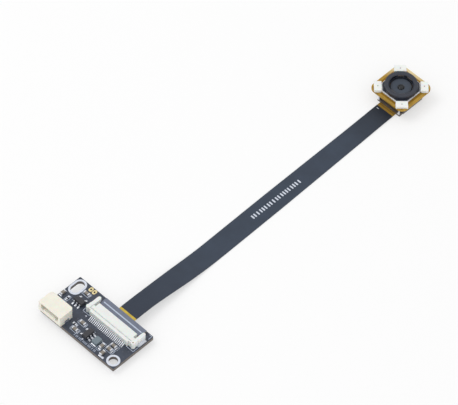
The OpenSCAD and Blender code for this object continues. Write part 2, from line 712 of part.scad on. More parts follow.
// Barrel and glass, from the barrel's rear face up. Elements: radius, bottom, top
barrel_z = can_z - 0.15;
front_z = barrel_l - 0.35;
elements = [[2.05, 0.3, 0.7], [1.9, 0.75, 1.15], [1.7, 1.2, 1.6], [1.4, 1.65, front_z - 0.2]];
seat_r = 2.1;
bore_play = 0.02;

module lens_barrel() color("#3b4250") at_head(barrel_z) rotate_extrude() polygon(concat(
    [[seat_r + 0.25, 0], [seat_r + 0.25, 0.25], [barrel_d / 2, 0.25]],
    [[barrel_d / 2, barrel_l - 0.1], [barrel_d / 2 - 0.1, barrel_l], [barrel_d / 2 - 0.35, barrel_l]],
    [[aperture_d / 2 + 0.2, front_z + 0.1], [aperture_d / 2, front_z], [aperture_d / 2, front_z - 0.08]],
    [[elements[3][0] - 0.35, front_z - 0.2]],
    [for (i = [3 : -1 : 0]) each [
        [elements[i][0] + bore_play, i == 3 ? elements[i][2] : elements[i + 1][1] - 0.05],
        [elements[i][0] + bore_play, i == 0 ? 0 : elements[i][1] - 0.05]
    ]]
));

// Outline of a lens: flat rim, and optical faces that bulge or hollow by the given heights
function bow(r, z, h, n = 8) = [for (i = [0 : n]) let (x = r * (1 - i / n)) [x, z + h * (1 - pow(x / r, 2))]];
module lens(e, under, over) rotate_extrude() polygon(concat(
    [[e[0], e[1]], [e[0], e[2]]], bow(e[0] - 0.35, e[2], over), backwards(bow(e[0] - 0.35, e[1], under))
));

module lens_elements() color("#9fb3c4") at_head(barrel_z) {
    lens(elements[3], -0.02, 0.08);
    lens(elements[2], 0.08, -0.06);
    lens(elements[1], 0.1, -0.08);
    lens(elements[0], 0.1, -0.1);
}

module lens_spacers() color("#1c1d20") at_head(barrel_z) for (i = [0 : 2])
    translate([0, 0, elements[i][2]]) difference() {
        cylinder(r = elements[i + 1][0], h = 0.05);
        translate([0, 0, -0.1]) cylinder(r = elements[i + 1][0] - 0.3, h = 1);
    }

module lens_retainer() color("#1c1d20") at_head(barrel_z) translate([0, 0, 0.1]) difference() {
    cylinder(r = elements[0][0], h = elements[0][1] - 0.1);
    translate([0, 0, -0.1]) cylinder(r = elements[0][0] - 0.45, h = 1);
}

// Front ring: a flange on the can, a rounded outer edge, and four notches in its bore
notch_w = 2.4;
flange_t = 0.2;
can_rim = 0.2;      // bare metal left round the flange
lip_d = barrel_d + 0.3;
module front_ring() color("#2b2d33") at_head(can_top) difference() {
    union() {
        linear_extrude(flange_t) polygon(cut_square(can_w / 2 - can_rim, can_cut - can_rim));
        rotate_extrude() polygon([
            [ring_bore_d / 2, 0], [ring_d / 2, 0], [ring_d / 2, ring_h - 0.25],
            [ring_d / 2 - 0.07, ring_h - 0.07], [ring_d / 2 - 0.25, ring_h],
            [ring_bore_d / 2 + 0.25, ring_h], [ring_bore_d / 2, ring_h - 0.25]
        ]);
    }
    translate([0, 0, -0.1]) cylinder(d = lip_d, h = ring_h);
    for (turn = [0 : 90 : 270]) rotate([0, 0, turn]) translate([0, -notch_w / 2, flange_t])
        cube([ring_bore_d / 2 + 0.35, notch_w, ring_h - flange_t - 0.4]);
}

// ---- light plate ----
collar_h = 0.6;
collar_w = 0.25;
plate_open = can_w / 2 + 0.12;
plate_cut = can_cut + 0.12;

module led_collar() color("#1d1e21") at_head(plate_z - collar_h) difference() {
    linear_extrude(collar_h) polygon(cut_square(can_w / 2 + collar_w, can_cut + collar_w));
    translate([0, 0, -0.1]) linear_extrude(collar_h + 1) polygon(cut_square(can_w / 2, can_cut));
}

module led_plate() color("#b8923f") at_head(plate_z) linear_extrude(plate_t) difference() {
    rounded_rect(plate_w, plate_w, plate_corner);
    polygon(cut_square(plate_open, plate_cut));
}

module at_lamps() at_head(plate_z + plate_t) for (turn = [45 : 90 : 315])
    rotate([0, 0, turn]) translate([can_cut + lamp_gap + lamp_w / 2, 0, 0]) children();

module led_pads() color("#cdb06a") at_lamps() for (s = [-1, 1])
    translate([0, s * (lamp_l / 2 - 0.4), skin_t / 2]) cube([lamp_w - 0.2, 0.7, skin_t], center = true);

module led_bodies() color("#f6f7f5") at_lamps() translate([0, 0, skin_t]) difference() {
    linear_extrude(lamp_h - skin_t) square([lamp_w, lamp_l], center = true);
    translate([0, 0, lamp_h - skin_t - 0.06]) cylinder(d = 0.4, h = 1);
}

// Two tinned legs carry the plate's supply down to the sensor board's ledge
leg_x = [ledge_x[0] + 0.35, ledge_x[1] - 0.35];
leg_w = 0.5;
leg_t = 0.2;
leg_foot = 0.2;
module led_feed_legs() color("#d6d8db") at_head(base_z) for (x = leg_x)
    translate([x - leg_w / 2, -can_w / 2 - ledge_l, 0]) {
        cube([leg_w, leg_t, plate_z - base_z]);
        translate([0, leg_t, 0]) cube([leg_w, leg_foot, 0.15]);
    }

circuit_board();
hole_lands();
test_pads();
zif_housing();
zif_actuator();
zif_contacts();
zif_anchor_tabs();
wire_socket();
wire_socket_pins();
wire_socket_anchors();
regulator_bodies();
regulator_leads();
power_inductor();
inductor_terminals();
capacitor_bodies();
capacitor_ends();
resistor_bodies();
resistor_ends();
camera_controller();
controller_terminals();
flash_memory();
crystal_base();
crystal_lid();
flex_base();
flex_cover_top();
flex_cover_bottom();
tab_stiffener();
head_stiffener();
sensor_board();
image_sensor();
filter_glass();
vcm_base();
vcm_can();
vcm_magnets();
upper_frame();
upper_spring();
lower_spring();
lens_carrier();
focus_coil();
lens_barrel();
lens_elements();
lens_spacers();
lens_retainer();
front_ring();
led_collar();
led_plate();
led_bodies();
led_pads();
led_feed_legs();
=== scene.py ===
"""Looks of the autofocus camera module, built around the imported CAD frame."""

import math
import random

import bmesh
import bpy
from mathutils import Matrix, Vector


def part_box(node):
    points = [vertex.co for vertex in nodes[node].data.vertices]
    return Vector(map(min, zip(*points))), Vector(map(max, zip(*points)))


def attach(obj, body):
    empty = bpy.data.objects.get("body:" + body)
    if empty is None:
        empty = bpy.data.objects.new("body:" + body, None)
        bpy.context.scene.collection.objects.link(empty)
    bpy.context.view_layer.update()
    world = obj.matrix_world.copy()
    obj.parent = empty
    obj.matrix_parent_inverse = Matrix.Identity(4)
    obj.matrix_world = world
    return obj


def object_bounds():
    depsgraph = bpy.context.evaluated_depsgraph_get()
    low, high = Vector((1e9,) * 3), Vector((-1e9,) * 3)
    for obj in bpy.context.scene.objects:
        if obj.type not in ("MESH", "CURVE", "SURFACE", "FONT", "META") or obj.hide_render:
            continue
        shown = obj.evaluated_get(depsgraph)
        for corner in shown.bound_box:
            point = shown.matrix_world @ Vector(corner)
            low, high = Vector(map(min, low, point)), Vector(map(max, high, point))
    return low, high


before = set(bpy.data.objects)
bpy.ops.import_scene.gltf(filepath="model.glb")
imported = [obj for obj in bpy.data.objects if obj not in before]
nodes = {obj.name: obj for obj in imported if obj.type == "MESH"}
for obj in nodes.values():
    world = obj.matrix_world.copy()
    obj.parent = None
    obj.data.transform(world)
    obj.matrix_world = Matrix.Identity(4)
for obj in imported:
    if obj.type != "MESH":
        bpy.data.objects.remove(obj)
cad_low, cad_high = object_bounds()
MM = 0.001

# ---------------------------------------------------------------- camera and lights
AZIMUTH, ELEVATION, ROLL = 42.687, 51.983, 2.381        # degrees, fitted to the photograph
TARGET = Vector((-15.2555, 56.0288, 0.0)) * MM
DISTANCE = 1.00115                                      # metres
LENS, SENSOR_WIDTH = 310.09, 36.0                       # millimetres
CLIP_START, CLIP_END = 0.05, 20.0                       # metres


def make_camera():
    """Adds the camera and returns its right, up and backward directions."""
    az, el, roll = (math.radians(v) for v in (AZIMUTH, ELEVATION, ROLL))
    back = Vector((math.sin(az) * math.cos(el), -math.cos(az) * math.cos(el), math.sin(el)))
    level = Vector((math.cos(az), math.sin(az), 0.0))
    upright = back.cross(level)
    right = level * math.cos(roll) + upright * math.sin(roll)
    up = upright * math.cos(roll) - level * math.sin(roll)
    data = bpy.data.cameras.new("camera")
    data.lens, data.sensor_width = LENS, SENSOR_WIDTH
    data.clip_start, data.clip_end = CLIP_START, CLIP_END
    camera = bpy.data.objects.new("camera", data)
    camera.matrix_world = Matrix.Translation(TARGET + back * DISTANCE) @ Matrix(
        (right, up, back)).transposed().to_4x4()
    bpy.context.scene.collection.objects.link(camera)
    bpy.context.scene.camera = camera
    return right, up, back


view_right, view_up, view_back = make_camera()
scene = bpy.context.scene
scene.view_settings.view_transform = "Standard"


def lamp(name, direction, distance, size, watts):
    """A round soft lamp that faces the middle of the part; metres and watts."""
    data = bpy.data.lights.new(name, "AREA")
    data.shape, data.size, data.energy = "DISK", size, watts
    ob = bpy.data.objects.new(name, data)
    direction = Vector(direction).normalized()
    ob.location = (cad_low + cad_high) / 2 + direction * distance
    ob.rotation_mode = "QUATERNION"
    ob.rotation_quaternion = direction.to_track_quat("Z", "Y")
    scene.collection.objects.link(ob)


def seen_rays(tree):
    """1 for what the camera sees, directly or by way of metal and glass; else 0."""
    rays = tree.nodes.new("ShaderNodeLightPath")
    seen = rays.outputs["Is Camera Ray"]
    for kind in ("Is Glossy Ray", "Is Transmission Ray"):
        either = tree.nodes.new("ShaderNodeMath")
        either.operation = "MAXIMUM"
        tree.links.new(seen, either.inputs[0])
        tree.links.new(rays.outputs[kind], either.inputs[1])
        seen = either.outputs[0]
    return seen


def white_world(level):
    """A world that is seen as white and lights the part at the given level."""
    world = bpy.data.worlds.new("studio")
    scene.world = world
    world.use_nodes = True
    tree = world.node_tree
    tree.nodes.clear()
    mix = tree.nodes.new("ShaderNodeMixShader")
    out = tree.nodes.new("ShaderNodeOutputWorld")
    tree.links.new(seen_rays(tree), mix.inputs["Fac"])
    for socket, strength in ((mix.inputs[1], level), (mix.inputs[2], 1.0)):
        plain = tree.nodes.new("ShaderNodeBackground")
        plain.inputs["Color"].default_value = (1, 1, 1, 1)
        plain.inputs["Strength"].default_value = strength
        tree.links.new(plain.outputs[0], socket)
    tree.links.new(mix.outputs[0], out.inputs["Surface"])


white_world(0.83)
# key from the upper left of the picture, behind; a weak fill from the camera's side
lamp("key", view_right * -0.75 + Vector((0, 0, 1.0)) + view_up * 0.25, distance=1.2, size=0.7, watts=2.9)
lamp("fill", view_back + view_right * 0.6, distance=1.4, size=1.0, watts=0.8)


# ---------------------------------------------------------------- materials
def linear(rgb):
    """Scene-linear RGBA of an sRGB colour from 0 to 255."""
    return tuple((c / 255 / 12.92) if c / 255 <= 0.04045 else ((c / 255 + 0.055) / 1.055) ** 2.4
                 for c in rgb) + (1.0,)


def shade(rgb, factor):
    return tuple(min(255, max(0, c * factor)) for c in rgb)


class Paint:
    """A Principled material with grain in its colour, roughness and bump."""

    ROUGH_GRAIN, BUMP_GRAIN = 2.3, 4.0      # finer than the grain of the colour by these
    BUMP_DEPTH = 0.02 * MM
    CONTRAST = (0.3, 0.7)                   # the part of the noise's range that is used

    def __init__(self, name, rgb, rough=0.5, metal=0.0, spread=0.06, grain=900.0, bump=0.06,
                 bevel=0.02, rough_spread=0.08, **sockets):
        self.mat = bpy.data.materials.new(name)
        self.mat.use_nodes = True
        self.tree = self.mat.node_tree
        self.tree.nodes.clear()
        self.link = self.tree.links.new
        self.out = self.add("ShaderNodeOutputMaterial")
        self.bsdf = self.add("ShaderNodeBsdfPrincipled")
        self.link(self.bsdf.outputs[0], self.out.inputs["Surface"])
        self.coords = self.add("ShaderNodeTexCoord").outputs["Object"]
        self.bsdf.inputs["Metallic"].default_value = metal
        for key, value in sockets.items():
            self.bsdf.inputs[key.replace("_", " ")].default_value = value
        grain_fac = self.ramp(self.noise(grain, 5.0), *self.CONTRAST)
        self.colour = self.mix(grain_fac, linear(shade(rgb, 1 - spread)), linear(shade(rgb, 1 + spread)))
        self.link(self.colour, self.bsdf.inputs["Base Color"])
        span = self.add("ShaderNodeMapRange")
        self.link(self.noise(grain * self.ROUGH_GRAIN, 3.0), span.inputs["Value"])
        span.inputs["To Min"].default_value = max(0.02, rough - rough_spread)
        span.inputs["To Max"].default_value = min(1.0, rough + rough_spread)
        self.link(span.outputs[0], self.bsdf.inputs["Roughness"])
        self.normal = None
        if bevel:
            round_edge = self.add("ShaderNodeBevel")
            round_edge.samples = 4
            round_edge.inputs["Radius"].default_value = bevel * MM
            self.normal = round_edge.outputs[0]
        self.emboss(self.noise(grain * self.BUMP_GRAIN, 2.0), bump, self.BUMP_DEPTH)

    def add(self, kind):
        return self.tree.nodes.new(kind)

    def noise(self, scale, detail):
        node = self.add("ShaderNodeTexNoise")
        node.inputs["Scale"].default_value = scale
        node.inputs["Detail"].default_value = detail
        self.link(self.coords, node.inputs["Vector"])
        return node.outputs["Fac"]

    def wave(self, letter, scale, distortion):
        """Bands across an axis."""
        node = self.add("ShaderNodeTexWave")
        node.bands_direction = letter
        node.inputs["Scale"].default_value = scale
        node.inputs["Distortion"].default_value = distortion
        self.link(self.coords, node.inputs["Vector"])
        return node.outputs["Fac"]

    def emboss(self, height, strength, depth):
        """Lays relief over the normal so far; metres."""
        node = self.add("ShaderNodeBump")
        node.inputs["Strength"].default_value = strength
        node.inputs["Distance"].default_value = depth
        self.link(height, node.inputs["Height"])
        if self.normal is not None:
            self.link(self.normal, node.inputs["Normal"])
        self.normal = node.outputs[0]
        self.link(self.normal, self.bsdf.inputs["Normal"])

    def mix(self, fac, low, high):
        """A colour between two, which are RGBA tuples or sockets."""
        node = self.add("ShaderNodeMix")
        node.data_type = "RGBA"
        self.link(fac, node.inputs["Factor"])
        for value, socket in ((low, node.inputs[6]), (high, node.inputs[7])):
            if isinstance(value, tuple):
                socket.default_value = value
            else:
                self.link(value, socket)
        return node.outputs[2]

    def ramp(self, value, start, end):
        """0 at start and before it, 1 at end and after it."""
        span = self.add("ShaderNodeMapRange")
        span.clamp = True
        self.link(value, span.inputs["Value"])
        span.inputs["From Min"].default_value = start
        span.inputs["From Max"].default_value = end
        return span.outputs[0]

    def axis(self, letter):
        split = self.add("ShaderNodeSeparateXYZ")
        self.link(self.coords, split.inputs[0])
        return split.outputs[letter]

    def math(self, kind, *values):
        node = self.add("ShaderNodeMath")
        node.operation = kind
        for value, socket in zip(values, node.inputs):
            if isinstance(value, (int, float)):
                socket.default_value = value
            else:
                self.link(value, socket)
        return node.outputs[0]

    def from_axis(self):
        """Offsets along X and Y from the lens axis, in metres."""
        return (self.math("SUBTRACT", self.axis("X"), lens_axis.x),
                self.math("SUBTRACT", self.axis("Y"), lens_axis.y))

    def band(self, letter, points, soft):
        """1 between the two values along an axis, 0 outside, with soft sides; metres."""
        value = self.axis(letter)
        rise = self.ramp(value, points[0] - soft, points[0] + soft)
        fall = self.ramp(value, points[1] + soft, points[1] - soft)
        return self.math("MULTIPLY", rise, fall)

    def over(self, fac, rgb, strength=1.0):
        """Lays another colour over the base by a factor."""
        if strength != 1.0:
            fac = self.math("MULTIPLY", fac, strength)
        self.colour = self.mix(fac, self.colour, linear(rgb))
        self.link(self.colour, self.bsdf.inputs["Base Color"])


board_low, board_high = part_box("circuit_board")
board_mid = (board_low + board_high) / 2
cover_low, cover_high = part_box("flex_cover_top")
head_low, head_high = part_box("vcm_can")
lens_axis = Vector(((head_low.x + head_high.x) / 2, (head_low.y + head_high.y) / 2, head_high.z))
sensor_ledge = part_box("sensor_board")[0].y

# solder mask on both faces, glass-fibre laminate on the edges
board_paint = Paint("board", (50, 58, 73), rough=0.42, spread=0.10, grain=600, bump=0.10, Coat_Weight=0.1)
mask_depth = 0.04 * MM
edge = board_paint.band("Z", (board_low.z + mask_depth, board_high.z - mask_depth), 0.01 * MM)
plies = board_paint.wave("Z", 1300, 2.0)
board_paint.over(edge, (98, 88, 80))
board_paint.over(board_paint.math("MULTIPLY", edge, plies), (78, 66, 60), 0.5)

ivory = Paint("ivory_plastic", (233, 236, 233), rough=0.42, spread=0.012, grain=700, bump=0.05,
              bevel=0.05, Subsurface_Weight=0.12, Subsurface_Scale=0.0006)
socket_ivory = Paint("socket_ivory", (239, 236, 223), rough=0.40, spread=0.014, grain=650, bump=0.05,
                     bevel=0.08, Subsurface_Weight=0.12, Subsurface_Scale=0.0006)
tinned = Paint("tinned", (222, 225, 231), rough=0.30, metal=0.75, spread=0.06, grain=2600, bump=0.20)
land = Paint("tinned_land", (214, 219, 230), rough=0.40, metal=0.45, spread=0.04, grain=2200, bump=0.25)
pad_grey = Paint("pad_grey", (140, 146, 160), rough=0.45, metal=0.3, spread=0.05, grain=2200, bump=0.2)
gold_pad = Paint("gold_pad", (228, 212, 160), rough=0.34, metal=0.55, spread=0.05, grain=2400,
                 bump=0.15)
chip_black = Paint("chip_black", (52, 52, 57), rough=0.55, spread=0.12, grain=3500, bump=0.25,
                   bevel=0.03)
chip_brown = Paint("chip_brown", (134, 127, 118), rough=0.45, spread=0.10, grain=3000, bump=0.12)
ferrite = Paint("ferrite", (113, 126, 134), rough=0.5, spread=0.06, grain=2500, bump=0.18, bevel=0.05)
crystal_metal = Paint("crystal_metal", (196, 198, 203), rough=0.32, metal=0.85, spread=0.04, grain=1800)
crystal_ceramic = Paint("crystal_ceramic", (185, 169, 140), rough=0.55, spread=0.07, grain=2500)

# polyimide with copper under it: clear amber at the board, darker where the head's copper lies below
amber = Paint("amber_film", (198, 170, 54), rough=0.36, spread=0.10, grain=700, bump=0.10, bevel=0,
              Coat_Weight=0.15)
# between the cover films only its dark cut edge shows
amber.over(amber.band("Y", (cover_low.y, cover_high.y), 0.02 * MM), (46, 52, 62))
# by the head copper lies under it, in bands across the film
bare = sensor_ledge - cover_high.y
amber.over(amber.ramp(amber.axis("Y"), cover_high.y, cover_high.y + 0.05 * MM), (160, 124, 40))
amber.over(amber.band("Y", (cover_high.y + 0.50 * bare, cover_high.y + 0.66 * bare), 0.06 * MM),
           (104, 80, 32))
amber.over(amber.ramp(amber.axis("Y"), sensor_ledge - 0.2 * MM, sensor_ledge), (84, 66, 36))

# black cover film: even, with the faint relief of the conductors under it
cover = Paint("cover_film", (52, 62, 77), rough=0.5, spread=0.05, grain=260, bump=0.05, bevel=0,
              Specular_IOR_Level=0.32)
cover.emboss(cover.wave("X", 620, 0.15), 0.10, 0.01 * MM)
# a little darker at both ends than in the middle of the run
cover.over(cover.ramp(cover.axis("Y"), cover_low.y + 30 * MM, cover_low.y), (43, 50, 64), 0.8)
cover.over(cover.ramp(cover.axis("Y"), cover_high.y - 16 * MM, cover_high.y), (30, 36, 46), 0.9)

tab_grey = Paint("tab_grey", (106, 113, 131), rough=0.40, spread=0.05, grain=900, bump=0.08,
                 Coat_Weight=0.2)
stiffener_steel = Paint("stiffener_steel", (120, 122, 126), rough=0.35, metal=0.8, spread=0.05,
                        grain=1500)
sensor_body = Paint("sensor_board", (94, 86, 80), rough=0.5, spread=0.14, grain=900, bump=0.1)
sensor = Paint("sensor", (58, 67, 80), rough=0.15, metal=0.3, spread=0.08, grain=2500)
filter_paint = Paint("filter", (127, 169, 168), rough=0.06, spread=0.03, grain=900, bump=0.0,
                     Transmission_Weight=0.9, IOR=1.5)
glass = Paint("lens_glass", (236, 240, 246), rough=0.04, spread=0.01, grain=900, bump=0.0, bevel=0,
              rough_spread=0.01, Transmission_Weight=0.96, IOR=1.52, Coat_Weight=0.3)
can_metal = Paint("can_metal", (238, 239, 241), rough=0.36, metal=0.12, spread=0.04, grain=1500,
                  bump=0.1)
base_black = Paint("base_black", (44, 42, 50), rough=0.5, spread=0.12, grain=2500, bump=0.15,
                   bevel=0.04)
magnet = Paint("magnet", (150, 152, 156), rough=0.3, metal=0.9, spread=0.05, grain=2500)
spring = Paint("spring", (184, 143, 88), rough=0.3, metal=0.9, spread=0.04, grain=2500)
copper = Paint("copper", (176, 104, 62), rough=0.34, metal=0.85, spread=0.08, grain=4000)

lens_black = Paint("lens_black", (48, 59, 74), rough=0.40, spread=0.07, grain=2500, bump=0.10,
                   bevel=0.03)
# the front of the barrel: painted shade round the opening, a dark disc that makes the aperture look
# wider, and painted shade under the ring
off_x, off_y = lens_black.from_axis()
radius = lens_black.math("SQRT", lens_black.math("ADD", lens_black.math("MULTIPLY", off_x, off_x),
                                                 lens_black.math("MULTIPLY", off_y, off_y)))
# painted shade under the ring, darker towards the rim of the face
lens_black.over(lens_black.ramp(radius, 1.9 * MM, 2.9 * MM), (26, 32, 44), 0.8)
# painted shade: a dark disc round the opening, wider than the aperture
lens_black.over(lens_black.ramp(radius, 1.02 * MM, 0.92 * MM), (8, 11, 16))
ring_black = Paint("ring_black", (40, 44, 56), rough=0.42, spread=0.10, grain=2800, bump=0.16,
                   bevel=0.06)

plate_gold = Paint("plate_gold", (174, 139, 60), rough=0.42, metal=0.4, spread=0.10, grain=650,
                   bump=0.10, bevel=0.03, Specular_IOR_Level=0.2)
# painted sheen: the far side of the plate is painted paler, where it catches the light; the copper under
# the film round the opening is darker
off_x, off_y = plate_gold.from_axis()
painted_far_sheen = plate_gold.ramp(plate_gold.math("ADD", off_y, plate_gold.math("MULTIPLY", off_x, -0.45)),
                      2.6 * MM, 6.6 * MM)
# painted sheen, paler towards the far side
plate_gold.over(painted_far_sheen, (240, 222, 176), 0.9)
square = plate_gold.math("MAXIMUM", plate_gold.math("ABSOLUTE", off_x),
                         plate_gold.math("ABSOLUTE", off_y))
plate_gold.over(plate_gold.ramp(square, 5.28 * MM, 5.16 * MM), (138, 100, 18), 0.85)

lamp_white = Paint("lamp_white", (240, 242, 239), rough=0.42, spread=0.008, grain=1600, bump=0.05,
                   bevel=0.06, Subsurface_Weight=0.15, Subsurface_Scale=0.0004)
front_glass = Paint("front_glass", (9, 12, 18), rough=0.07, spread=0.05, grain=3000, bump=0.0, bevel=0,
                    rough_spread=0.01, Specular_IOR_Level=0.5)
rib_brown = Paint("rib_brown", (98, 90, 86), rough=0.45, spread=0.08, grain=3000, bump=0.1, bevel=0)
gate_brown = Paint("gate_brown", (150, 132, 96), rough=0.5, spread=0.08, grain=3000, bump=0.1, bevel=0)
phosphor = Paint("phosphor", (176, 178, 168), rough=0.3, spread=0.05, grain=4000, bump=0.1)
silk = Paint("silkscreen", (186, 196, 214), rough=0.6, spread=0.06, grain=5000, bump=0.15, bevel=0)
print_white = Paint("print_white", (206, 212, 224), rough=0.6, spread=0.08, grain=6000, bump=0.1,
                    bevel=0)
tented = Paint("tented_copper", (70, 76, 91), rough=0.36, spread=0.08, grain=1500, bump=0.08,
               bevel=0.01, Coat_Weight=0.25)
solder = Paint("solder", (214, 216, 222), rough=0.24, metal=0.8, spread=0.05, grain=1800, bump=0.22,
               bevel=0.03)

FINISH = {
    board_paint: ["circuit_board"],
    sensor_body: ["sensor_board"],
    land: ["hole_lands"],
    tinned: ["zif_contacts", "zif_anchor_tabs", "wire_socket_pins", "wire_socket_anchors",
             "regulator_leads", "inductor_terminals", "capacitor_ends", "resistor_ends",
             "controller_terminals", "led_feed_legs"],
    gold_pad: ["test_pads", "led_pads"],
    ivory: ["zif_housing", "zif_actuator"],
    socket_ivory: ["wire_socket"],
    chip_black: ["regulator_bodies", "resistor_bodies", "camera_controller", "flash_memory"],
    chip_brown: ["capacitor_bodies"],
    ferrite: ["power_inductor"],
    crystal_metal: ["crystal_lid"],
    crystal_ceramic: ["crystal_base"],
    amber: ["flex_base"],
    cover: ["flex_cover_top", "flex_cover_bottom"],
    tab_grey: ["tab_stiffener"],
    stiffener_steel: ["head_stiffener"],
    sensor: ["image_sensor"],
    filter_paint: ["filter_glass"],
    glass: ["lens_elements"],
    can_metal: ["vcm_can"],
    base_black: ["vcm_base", "upper_frame", "led_collar"],
    magnet: ["vcm_magnets"],
    spring: ["upper_spring", "lower_spring"],
    copper: ["focus_coil"],
    lens_black: ["lens_barrel", "lens_carrier", "lens_spacers", "lens_retainer"],
    ring_black: ["front_ring"],
    plate_gold: ["led_plate"],
    lamp_white: ["led_bodies"],
}
for paint, names in FINISH.items():
    for name in names:
        data = nodes[name].data
        data.materials.clear()
        data.materials.append(paint.mat)


# ---------------------------------------------------------------- mesh helpers, in millimetres
LIFT = 0.001        # what lies on a face stands this far off it
DOT = 0.0005        # inner radius of a ring that reads as a full disc


def piece(name, bm, paint, body, smooth=False):
    bmesh.ops.recalc_face_normals(bm, faces=bm.faces)
    mesh = bpy.data.meshes.new(name)
    bm.to_mesh(mesh)
    bm.free()
    mesh.transform(Matrix.Scale(MM, 4))
    mesh.materials.append(paint.mat)
    if smooth:
        for face in mesh.polygons:
            face.use_smooth = True
    ob = bpy.data.objects.new(name, mesh)
    scene.collection.objects.link(ob)
    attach(ob, body)
    return ob


def loop(bm, points):
    return [bm.verts.new(point) for point in points]


def circle(x, y, radius, z, steps):
    return [(x + radius * math.cos(math.tau * i / steps), y + radius * math.sin(math.tau * i / steps), z)
            for i in range(steps)]


def bridge(bm, one, two):
    """A band of faces between two closed loops of as many corners."""
    for i in range(len(one)):
        j = (i + 1) % len(one)
        bm.faces.new((one[i], one[j], two[j], two[i]))


def prism(bm, outline, low, high, draft=0.0):
    """A closed block over an outline of (x, y) points; its top is drawn in by draft."""
    cx = sum(p[0] for p in outline) / len(outline)
    cy = sum(p[1] for p in outline) / len(outline)
    drawn = []
    for x, y in outline:
        k = 1 - draft / (math.hypot(x - cx, y - cy) or 1.0)
        drawn.append((cx + (x - cx) * k, cy + (y - cy) * k, high))
    base = loop(bm, [(x, y, low) for x, y in outline])
    top = loop(bm, drawn)
    bm.faces.new(base[::-1])
    bm.faces.new(top)
    bridge(bm, base, top)


def rounded(x0, y0, x1, y1, radius, steps=4):
    """Outline of a rectangle with round corners."""
    radius = min(radius, (x1 - x0) / 2 - 1e-4, (y1 - y0) / 2 - 1e-4)
    points = []
    for cx, cy, start in ((x1 - radius, y1 - radius, 0), (x0 + radius, y1 - radius, 90),
                          (x0 + radius, y0 + radius, 180), (x1 - radius, y0 + radius, 270)):
        for i in range(steps + 1):
            angle = math.radians(start + 90 * i / steps)
            points.append((cx + radius * math.cos(angle), cy + radius * math.sin(angle)))
    return points


def line(bm, points, width, low, high):
    """A printed line along a polyline, one rounded bar per stretch."""
    for (ax, ay), (bx, by) in zip(points, points[1:]):
        angle, length = math.atan2(by - ay, bx - ax), math.hypot(bx - ax, by - ay)
        flat = rounded(-width / 2, -width / 2, length + width / 2, width / 2, width / 2 - 0.005, 3)
        c, s = math.cos(angle), math.sin(angle)
        prism(bm, [(ax + x * c - y * s, ay + x * s + y * c) for x, y in flat], low, high)


def ring(bm, cx, cy, inner, outer, low, high, steps):
    """A closed flat ring."""
    loops = [loop(bm, circle(cx, cy, radius, z, steps))
             for radius, z in ((inner, low), (outer, low), (outer, high), (inner, high))]
    for one, two in zip(loops, loops[1:] + loops[:1]):
        bridge(bm, one, two)


def islands(*names):
    """Boxes (low, high) in millimetres of each separate solid of CAD nodes."""
    boxes = []
    for name in names:
        mesh = nodes[name].data
        where = {}
        parent = list(range(len(mesh.vertices)))

        def find(i):
            while parent[i] != i:
                parent[i] = parent[parent[i]]
                i = parent[i]
            return i

        for v in mesh.vertices:
            key = tuple(round(c * 1e7) for c in v.co)
            parent[find(v.index)] = find(where.setdefault(key, v.index))
        for e in mesh.edges:
            parent[find(e.vertices[0])] = find(e.vertices[1])
        groups = {}
        for v in mesh.vertices:
            groups.setdefault(find(v.index), []).append(v.co)
        for points in groups.values():
            low = Vector([min(p[i] for p in points) for i in range(3)]) / MM
            high = Vector([max(p[i] for p in points) for i in range(3)]) / MM
            boxes.append((low, high))
    return boxes


def centre(box):
    return (box[0] + box[1]) / 2


def nearest(box, boxes):
    return min(boxes, key=lambda other: (centre(other) - centre(box)).length)


def step_out(away, along_x):
    """Unit (x, y) step away from a body, along X or along Y."""
    return (math.copysign(1, away.x), 0.0) if along_x else (0.0, math.copysign(1, away.y))


def toe(box, outward):
    """The foot of a terminal's outer face, a hair inside it."""
    middle, half = centre(box), (box[1] - box[0]) / 2
    return (middle.x + outward[0] * (half.x - 0.01), middle.y + outward[1] * (half.y - 0.01))


def fillet(bm, foot, outward, width, reach, height, base, side=1):
    """Solder that climbs at the foot of a terminal; outward is a unit (x, y), side 1 is up."""
    ox, oy = outward
    sx, sy = -oy, ox
    rows = []
    for t in (0.0, 1 / 3, 2 / 3, 1.0):
        rise = height * (1 - t) ** 2.2 + 0.015
        half = width / 2 * (1 + 0.18 * t)
        rows.append([(foot[0] + ox * reach * t + sx * half * s, foot[1] + oy * reach * t + sy * half * s,
                      base + side * rise * (1.0 if abs(s) < 1 else 0.45)) for s in (-1, -0.5, 0.5, 1)])
    crest = [loop(bm, row) for row in rows]
    under = [loop(bm, [(x, y, base) for x, y, _ in row]) for row in rows]
    last, edge_on = len(rows) - 1, len(rows[0]) - 1
    for i in range(last):
        for j in range(edge_on):
            bm.faces.new((crest[i][j], crest[i + 1][j], crest[i + 1][j + 1], crest[i][j + 1]))
            bm.faces.new((under[i][j], under[i][j + 1], under[i + 1][j + 1], under[i + 1][j]))
        bm.faces.new((under[i][0], under[i + 1][0], crest[i + 1][0], crest[i][0]))
        bm.faces.new((under[i][edge_on], crest[i][edge_on], crest[i + 1][edge_on], under[i + 1][edge_on]))
    for j in range(edge_on):
        bm.faces.new((under[0][j], crest[0][j], crest[0][j + 1], under[0][j + 1]))
        bm.faces.new((under[last][j], under[last][j + 1], crest[last][j + 1], crest[last][j]))


# ---------------------------------------------------------------- interface board
top_z = board_high.z / MM
under_z = board_low.z / MM
mid_x, mid_y = board_mid.x / MM, board_mid.y / MM
housing_low, housing_high = (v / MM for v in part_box("zif_housing"))


def on_board(points):
    return [(mid_x + x, mid_y + y) for x, y in points]


